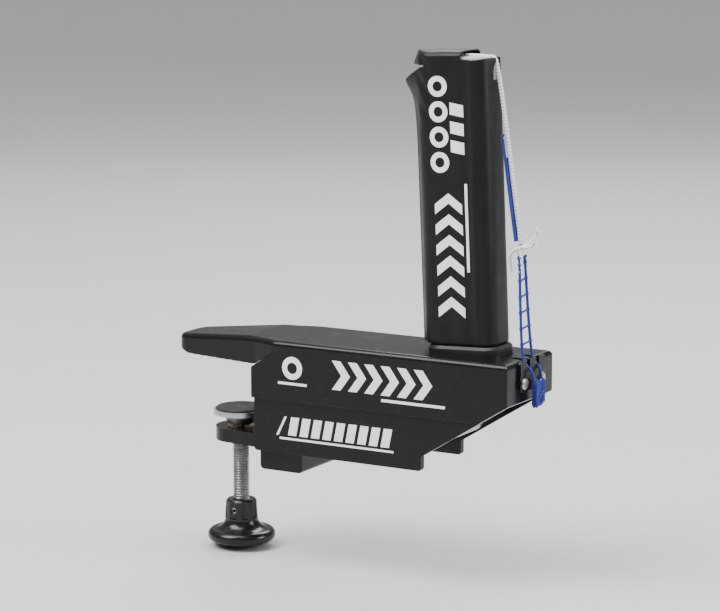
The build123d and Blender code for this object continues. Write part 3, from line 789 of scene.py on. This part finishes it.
low_wrap_at = knot_at + Vector((0.3, 0.2, -1.1)) * MM
white_knot = yarn_piece("white_cord_knot", [
    wound_knot(knot_at, cord_route[3] - cord_route[2], 1.75, 2.4, height=3.4, thick=0.98, tilt=0.25),
    wound_knot(low_wrap_at, Vector((0.9, 0.5, 0.5)), 1.35, 1.3, height=1.8, thick=0.92, tilt=0.3),
], white_yarn)
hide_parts("cord_knot")

# Two cut ends stand out to the right, a loop's end lies to the left and one end hangs down.
# Each has its route from the knot in millimetres, the length of its fray and its filaments.
tail_routes = {
    "white_tail_upper": (
        [(1.2, 0.5, 0.6), (3.0, 1.6, 2.4), (4.6, 2.6, 4.0), (5.8, 3.0, 5.8)],
        3.4, 20,
    ),
    "white_tail_lower": (
        [(1.4, -0.4, 0.2), (3.4, -1.2, 1.1), (5.2, -1.5, 1.4), (6.8, -1.9, 2.8)],
        2.6, 18,
    ),
    "white_hanging_end": (
        [(0.4, -1.6, -0.8), (1.2, -2.2, -3.0), (1.3, -2.3, -6.0), (0.9, -2.5, -8.6)],
        1.6, 9,
    ),
    "white_loop_end": (
        [(-0.9, -1.4, 0.6), (-2.9, -2.6, -0.9), (-4.3, -3.2, -2.8), (-4.3, -3.0, -6.0), (-3.5, -2.7, -9.2)],
        1.4, 8,
    ),
}
for name, (offsets, fray, hairs) in tail_routes.items():
    line = evenly(spline_line([knot_at + Vector(offset) * MM for offset in offsets]), 0.2 * MM)
    tubes = [tube_mesh(line, 18, braided(tail_r, 4, plait))]
    tubes += frayed_end(line, fray * MM, hairs, 0.55)
    yarn_piece(name, tubes, white_yarn)
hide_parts("cord_knot_tails")

stop_knot = yarn_piece("cord_stop_knot_wound", [
    wound_knot(stop_at, post_out, 0.95, 2.2, height=3.0, thick=0.72, tilt=0.1),
    wound_knot(stop_at, Vector((0.2, 1, 0.1)), 0.75, 1.2, height=1.0, thick=0.70, tilt=0.1),
], white_yarn)
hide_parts("cord_stop_knot")
tuple(cord_route[0])

# ---- blue ladder strap ---------------------------------------------------------------------------
strand_r = 0.7 * MM
strand_lay = 2.9 * MM   # length over which the strand's twist repeats
rung_count = 6
rung_step = 7.2 * MM


def strand_route(sign):
    """The strand's route from the knot through its notch, as the CAD has it."""
    return [
        Vector((0.1299, sign * 0.0026, 0.0592)),
        Vector((0.1319, sign * 0.0045, 0.0170)),
        Vector((0.1346, sign * 0.0045, 0.0106)),
        Vector((0.1379, sign * 0.0042, 0.0080)),
        Vector((0.1384, sign * 0.0036, 0.0036)),
    ]


strand_lines = {}
for side_name, sign in (("near", -1), ("far", 1)):
    strand_lines[sign] = evenly(spline_line(strand_route(sign)), line_step)
    tube = tube_mesh(strand_lines[sign], 18, twisted(strand_r, 3, strand_lay))
    yarn_piece(f"blue_ladder_strand_{side_name}", [tube], blue_yarn)
    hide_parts(f"ladder_strand_{side_name}")


def at_height(line, z):
    """The point of a strand at a height on its long straight run."""
    return min(line[: int(len(line) * 0.8)], key=lambda point: abs(point.z - z))


rung_tubes = []
top_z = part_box("ladder_rungs")[1].z - 0.6 * MM
for number in range(rung_count):
    z = top_z - number * rung_step
    near = at_height(strand_lines[-1], z - 0.35 * MM)
    far = at_height(strand_lines[1], z + 0.35 * MM)
    sag = Vector((random.uniform(-0.3, 0.3), 0, random.uniform(-0.25, 0.05))) * MM
    middle = (near + far) / 2 + sag
    route = [near, near.lerp(middle, 0.5), middle, far.lerp(middle, 0.5), far]
    rung_tubes.append(tube_mesh(evenly(spline_line(route), line_step), 14, twisted(0.52 * MM, 2, 2.2 * MM)))
    for end in (near, far):
        rung_tubes.append(
            wound_knot(end, Vector((0.05, 0, 1)), 0.72, 1.7, height=1.0, thick=0.3, tilt=0.05)
        )
rungs = yarn_piece("blue_ladder_rungs", rung_tubes, blue_yarn)
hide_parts("ladder_rungs")

# the spare ladder behind the rear wall: the strap folded up and down in a loose bunch, of two
# layers, with short ends of its rungs across both faces
bundle_low, bundle_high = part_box("ladder_tail_bundle")
middle_x = (bundle_low.x + bundle_high.x) / 2
bundle_tubes = []
fold_count = 7
for layer, shift in ((-1, -0.85), (1, 0.8)):
    route = []
    for fold in range(fold_count):
        share = fold / (fold_count - 1)
        y = (bundle_low.y + 1.0 * MM) + share * (bundle_high.y - bundle_low.y - 2.0 * MM)
        top = bundle_high.z - random.uniform(-0.6, 1.0) * MM
        low = bundle_low.z + random.uniform(0.9, 3.2) * MM
        x = middle_x + (shift + random.uniform(-0.25, 0.25)) * MM
        ends = (top, low) if fold % 2 == (layer < 0) else (low, top)
        first, last = Vector((x, y, ends[0])), Vector((x, y + 0.2 * MM, ends[1]))
        route += [first, first.lerp(last, 0.35), first.lerp(last, 0.7), last]
    line = evenly(spline_line(route), 0.2 * MM)
    bundle_tubes.append(tube_mesh(line, 14, twisted(0.62 * MM, 3, 2.6 * MM)))
for _ in range(9):
    y = random.uniform(bundle_low.y + 2.4 * MM, bundle_high.y - 2.4 * MM)
    z = random.uniform(bundle_low.z + 2.5 * MM, bundle_high.z - 2.5 * MM)
    x = middle_x + random.choice((-1.25, 1.25)) * MM
    lean = random.uniform(-0.8, 0.8) * MM
    route = [Vector((x, y - 1.5 * MM, z - lean)), Vector((x, y, z)), Vector((x, y + 1.5 * MM, z + lean))]
    bundle_tubes.append(tube_mesh(evenly(spline_line(route), 0.2 * MM), 12, twisted(0.45 * MM, 2, 2 * MM)))
bundle = yarn_piece("blue_ladder_spare", bundle_tubes, blue_yarn)
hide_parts("ladder_tail_bundle")

# the loose blue end that runs up beside the white cord, with a second, shorter ply beside it
top_tail_route = [
    Vector((0.1274, -0.0019, 0.0662)),
    Vector((0.1236, -0.0023, 0.0920)),
    Vector((0.1206, -0.0019, 0.1120)),
]
top_tail_line = evenly(spline_line(top_tail_route), line_step)
top_tail_tube = tube_mesh(top_tail_line, 18, twisted(strand_r, 3, strand_lay))
top_tail = yarn_piece("blue_ladder_loose_end", [top_tail_tube], blue_yarn)
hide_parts("ladder_top_tail")
beside = Vector((0.25, 1.35, 0)) * MM
second_line = [point + beside for point in top_tail_line[: int(len(top_tail_line) * 0.82)]]
second_tubes = [tube_mesh(second_line, 16, twisted(0.55 * MM, 3, 2.6 * MM))]
second_tubes += frayed_end(top_tail_line, 2.2 * MM, 9, 0.4)
top_tail_second = yarn_piece("blue_ladder_loose_end_ply", second_tubes, blue_yarn)

blue_knot_at = Vector((0.1297, 0, 0.0588))
blue_knot = yarn_piece("blue_ladder_knot", [
    wound_knot(blue_knot_at, Vector((0, 1, 0)), 0.9, 3.1, height=5.6, thick=0.6, tilt=0.1),
], blue_yarn)

# ---- threaded clamp screw ---------------------------------------------------------------------------
screw_low, screw_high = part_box("clamp_screw")
screw_x = (screw_low.x + screw_high.x) / 2
pitch = 1.25 * MM
crest_r = 3.98 * MM
root_r = 3.28 * MM
run_in_r = 3.2 * MM     # the plain shank that the thread grows out of
chamfer_r = 3.05 * MM   # the shank's small end, under the neck
ball_r = 3.0 * MM
neck_r = 2.1 * MM
ball_z = screw_high.z - ball_r
shank_z = ball_z - 3.49 * MM


def screw_rings():
    """(height, radius) down the ball and the neck, then heights with no radius down the thread."""
    rings = []
    ball_steps = 14
    for step in range(1, ball_steps + 1):
        angle = math.pi * 0.76 * step / ball_steps
        rings.append((ball_z + ball_r * math.cos(angle), ball_r * math.sin(angle)))
    for z in (ball_z - 2.45 * MM, ball_z - 3.0 * MM, shank_z + 0.01 * MM):
        rings.append((z, neck_r))
    rings.append((shank_z, chamfer_r))
    z = shank_z
    while z > screw_low.z + 0.3 * MM:
        z -= pitch / 12
        rings.append((z, None))
    return rings


def thread_radius(z, angle):
    """The thread's radius at a height and an angle: a helix with flat crests and a chamfered start."""
    below = shank_z - z
    grip = smooth_step(below, 0.2 * MM, 1.8 * MM)
    phase = (z / pitch - angle / (2 * math.pi)) % 1.0
    ridge = 1 - abs(2 * phase - 1)
    profile = min(1.0, max(0.0, (ridge - 0.08) / 0.78))
    radius = root_r + (crest_r - root_r) * profile
    return min(radius * grip + run_in_r * (1 - grip), chamfer_r + below * 0.9)


def make_screw():
    """The ball, the neck, and the shank with a real helical thread down to inside the knob."""
    sides = 56
    rings = screw_rings()
    points = [Vector((screw_x, 0, ball_z + ball_r))]
    for z, radius in rings:
        for side in range(sides):
            angle = 2 * math.pi * side / sides
            here = radius or thread_radius(z, angle)
            points.append(Vector((screw_x + here * math.cos(angle), here * math.sin(angle), z)))
    faces = [(0, 1 + side, 1 + (side + 1) % sides) for side in range(sides)]
    for ring in range(len(rings) - 1):
        for side in range(sides):
            a = 1 + ring * sides + side
            b = 1 + ring * sides + (side + 1) % sides
            faces.append((a, a + sides, b + sides, b))
    last = 1 + (len(rings) - 1) * sides
    faces.append(tuple(last + side for side in reversed(range(sides))))
    piece = make_piece("clamp_screw_threaded", points, faces, screw_steel, "screw")
    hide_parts("clamp_screw")


make_screw()


# ---- printed marks: plain shapes, with no lettering ----------------------------------------------------
# Each shape is a grid of points in millimetres, with whether its rows close on themselves.
def bar(x, y, width, height, slant, columns=4, rows=6):
    """A bar, lowest left corner at x, y, whose top leans by slant times its height."""
    grid = []
    for row in range(rows + 1):
        rise = height * row / rows
        left = x + slant * rise
        grid.append([(left + width * column / columns, y + rise) for column in range(columns + 1)])
    return grid, False


def chevron(x, y, width, height, reach, columns=4, rows=12):
    """A bent bar that points along x, lowest left corner at x, y."""
    grid = []
    for row in range(rows + 1):
        rise = height * row / rows
        left = x + reach * (1 - abs(2 * row / rows - 1))
        grid.append([(left + width * column / columns, y + rise) for column in range(columns + 1)])
    return grid, False


def disc_ring(x, y, inner, outer, sides=40, rows=2):
    """A flat ring round x, y."""
    angles = [2 * math.pi * side / sides for side in range(sides)]
    grid = []
    for row in range(rows + 1):
        radius = inner + (outer - inner) * row / rows
        grid.append([(x + radius * math.cos(angle), y + radius * math.sin(angle)) for angle in angles])
    return grid, True


def turned(shape):
    """The same shape a quarter turn round, for marks that read up the post."""
    grid, closed = shape
    return [[(-b, a) for a, b in row] for row in grid], closed


def printed(name, shapes, place, film=0.05 * MM):
    """Thin films of ink: each shape's grid, laid on a surface by place(a, b, lift)."""
    points = []
    faces = []
    for grid, closed in shapes:
        width = len(grid[0])
        base = len(points)
        size = width * len(grid)
        for lift in (film, -film):
            for row in grid:
                points += [place(a, b, lift) for a, b in row]
        around = width if closed else width - 1
        for row in range(len(grid) - 1):
            low, high = base + row * width, base + (row + 1) * width
            for column in range(around):
                after = (column + 1) % width
                quad = (low + column, low + after, high + after, high + column)
                faces.append(quad)
                faces.append(tuple(size + corner for corner in reversed(quad)))
        first = [base + column for column in range(width)]
        last = [base + (len(grid) - 1) * width + column for column in range(width)]
        if closed:
            rims = [first + first[:1], list(reversed(last + last[:1]))]
        else:
            right = [base + row * width + width - 1 for row in range(len(grid))]
            left = [base + row * width for row in reversed(range(len(grid)))]
            rims = [first + right[1:] + list(reversed(last))[1:] + left[1:]]
        for rim in rims:
            for a, b in zip(rim, rim[1:]):
                faces.append((a, a + size, b + size, b))
    piece = make_piece(name, points, faces, ink, "bracket")
    for face in piece.data.polygons:
        face.use_smooth = False


def on_wall(y):
    """Places ink on a flat near wall at y: across it, up it and lifted off it."""
    def place(x, z, lift):
        return Vector((x * MM, y - lift, z * MM))
    return place


sleeve_skin = sleeve.evaluated_get(bpy.context.evaluated_depsgraph_get())
skin_back = sleeve_skin.matrix_world.inverted()


def on_sleeve(u, h, lift):
    """The point of the sleeve's near face that a straight look along +Y meets."""
    start = on_post(u, -40, h)
    met, place, _, _ = sleeve_skin.ray_cast(skin_back @ start, Vector((0, 1, 0)))
    if met:
        return Vector((start.x, place.y - lift, start.z))
    return Vector((start.x, post_foot.y - half_t * MM - lift, start.z))


channel_marks = [disc_ring(22.6, 1.4, 2.7, 5.4), bar(14.8, -6.6, 15.6, 1.2, 0.15)]
for number in range(6):
    channel_marks.append(chevron(44.0 + 8.6 * number, -6.4, 4.6, 13.6, 5.0))
channel_marks.append(bar(70.0, -9.4, 33.0, 1.3, 0.15, columns=8))
printed("channel_print", channel_marks, on_wall(channel_low.y))

plate_marks = [bar(14.6, -33.2, 61.0, 1.0, 0.0, columns=12)]
plate_marks.append(bar(12.8, -31.4, 1.2, 9.2, 0.5))
for number in range(9):
    plate_marks.append(bar(19.2 + 6.2 * number, -31.0, 4.4, 8.8, 0.2))
printed("side_plate_print", plate_marks, on_wall(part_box("side_plate_near")[0].y))

# these shapes are laid out lying down, then turned to read up the post
sleeve_marks = []
for number in range(6):
    sleeve_marks.append(turned(chevron(17.0 + 9.4 * number, -3.4, 4.6, 13.6, 5.0, columns=6, rows=16)))
sleeve_marks.append(turned(bar(38.0, -6.2, 40.0, 1.3, 0.0, columns=40, rows=2)))
for number in range(4):
    sleeve_marks.append(turned(disc_ring(87.5 + 11.4 * number, 7.0, 2.3, 4.7)))
for number in range(3):
    sleeve_marks.append(turned(bar(91.0 + 8.4 * number, -5.4, 5.4, 6.6, 0.2, columns=6, rows=8)))
printed("sleeve_print", sleeve_marks, on_sleeve, film=0.07 * MM)

# ---- floor, light and camera -------------------------------------------------------------------
floor_z = cad_low.z - 1.6 * MM
flat_r = 1.7            # the floor is flat out to here
bend_r = 3.2            # radius of its curve up into the wall
wall_h = 0.8
centre = (cad_low + cad_high) / 2


def make_floor():
    """A wide pale floor that curves up into a wall all round, so no view sees past it."""
    bend_steps = 24
    profile = [(0.001, 0.0), (flat_r * 0.5, 0.0), (flat_r, 0.0)]
    for step in range(1, bend_steps + 1):
        angle = math.pi / 2 * step / bend_steps
        profile.append((flat_r + bend_r * math.sin(angle), bend_r * (1 - math.cos(angle))))
    profile.append((flat_r + bend_r, bend_r + wall_h))
    sides = 96
    points = []
    for radius, height in profile:
        for side in range(sides):
            angle = 2 * math.pi * side / sides
            points.append((radius * math.cos(angle), radius * math.sin(angle), floor_z + height))
    faces = []
    for ring in range(len(profile) - 1):
        for side in range(sides):
            a = ring * sides + side
            b = ring * sides + (side + 1) % sides
            faces.append((a, b, b + sides, a + sides))
    faces.append(tuple(reversed(range(sides))))
    mesh = bpy.data.meshes.new("studio_floor")
    mesh.from_pydata(points, [], faces)
    mesh.materials.append(pale_floor("pale_studio_floor"))
    for face in mesh.polygons:
        face.use_smooth = True
    floor = bpy.data.objects.new("studio_floor", mesh)
    scene.collection.objects.link(floor)
    floor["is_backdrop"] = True


make_floor()


def stand(name, data, azimuth, elevation, distance):
    """A light or camera that faces the clamp from an azimuth, 0 at -Y and 90 at +X, and an elevation."""
    a, e = math.radians(azimuth), math.radians(elevation)
    back = Vector((math.sin(a) * math.cos(e), -math.cos(a) * math.cos(e), math.sin(e)))
    holder = bpy.data.objects.new(name, data)
    holder.location = centre + back * distance
    holder.rotation_mode = "QUATERNION"
    holder.rotation_quaternion = back.to_track_quat("Z", "Y")
    scene.collection.objects.link(holder)
    return holder


def softbox(name, azimuth, elevation, distance, width, height, power):
    """A large soft light."""
    light = bpy.data.lights.new(name, "AREA")
    light.shape = "RECTANGLE"
    light.size = width
    light.size_y = height
    light.energy = power
    stand(name, light, azimuth, elevation, distance)


softbox("key_light", -35, 50, 1.5, width=0.9, height=0.9, power=36)
softbox("side_light", 105, 25, 1.4, width=0.5, height=1.0, power=16)
softbox("rear_light", 195, 40, 1.6, width=1.0, height=0.6, power=17)
softbox("top_light", 30, 86, 1.3, width=0.9, height=0.9, power=17)

world = bpy.data.worlds.new("studio_world")
world.use_nodes = True
sky = world.node_tree.nodes["Background"]
sky.inputs["Color"].default_value = (0.93, 0.96, 1.0, 1)
sky.inputs["Strength"].default_value = 0.72
scene.world = world

camera_data = bpy.data.cameras.new("camera")
camera_data.lens = 142
camera_data.sensor_width = 36
camera_data.clip_start = 0.05
scene.camera = stand("camera", camera_data, azimuth=30, elevation=10, distance=1.32)

low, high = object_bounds()
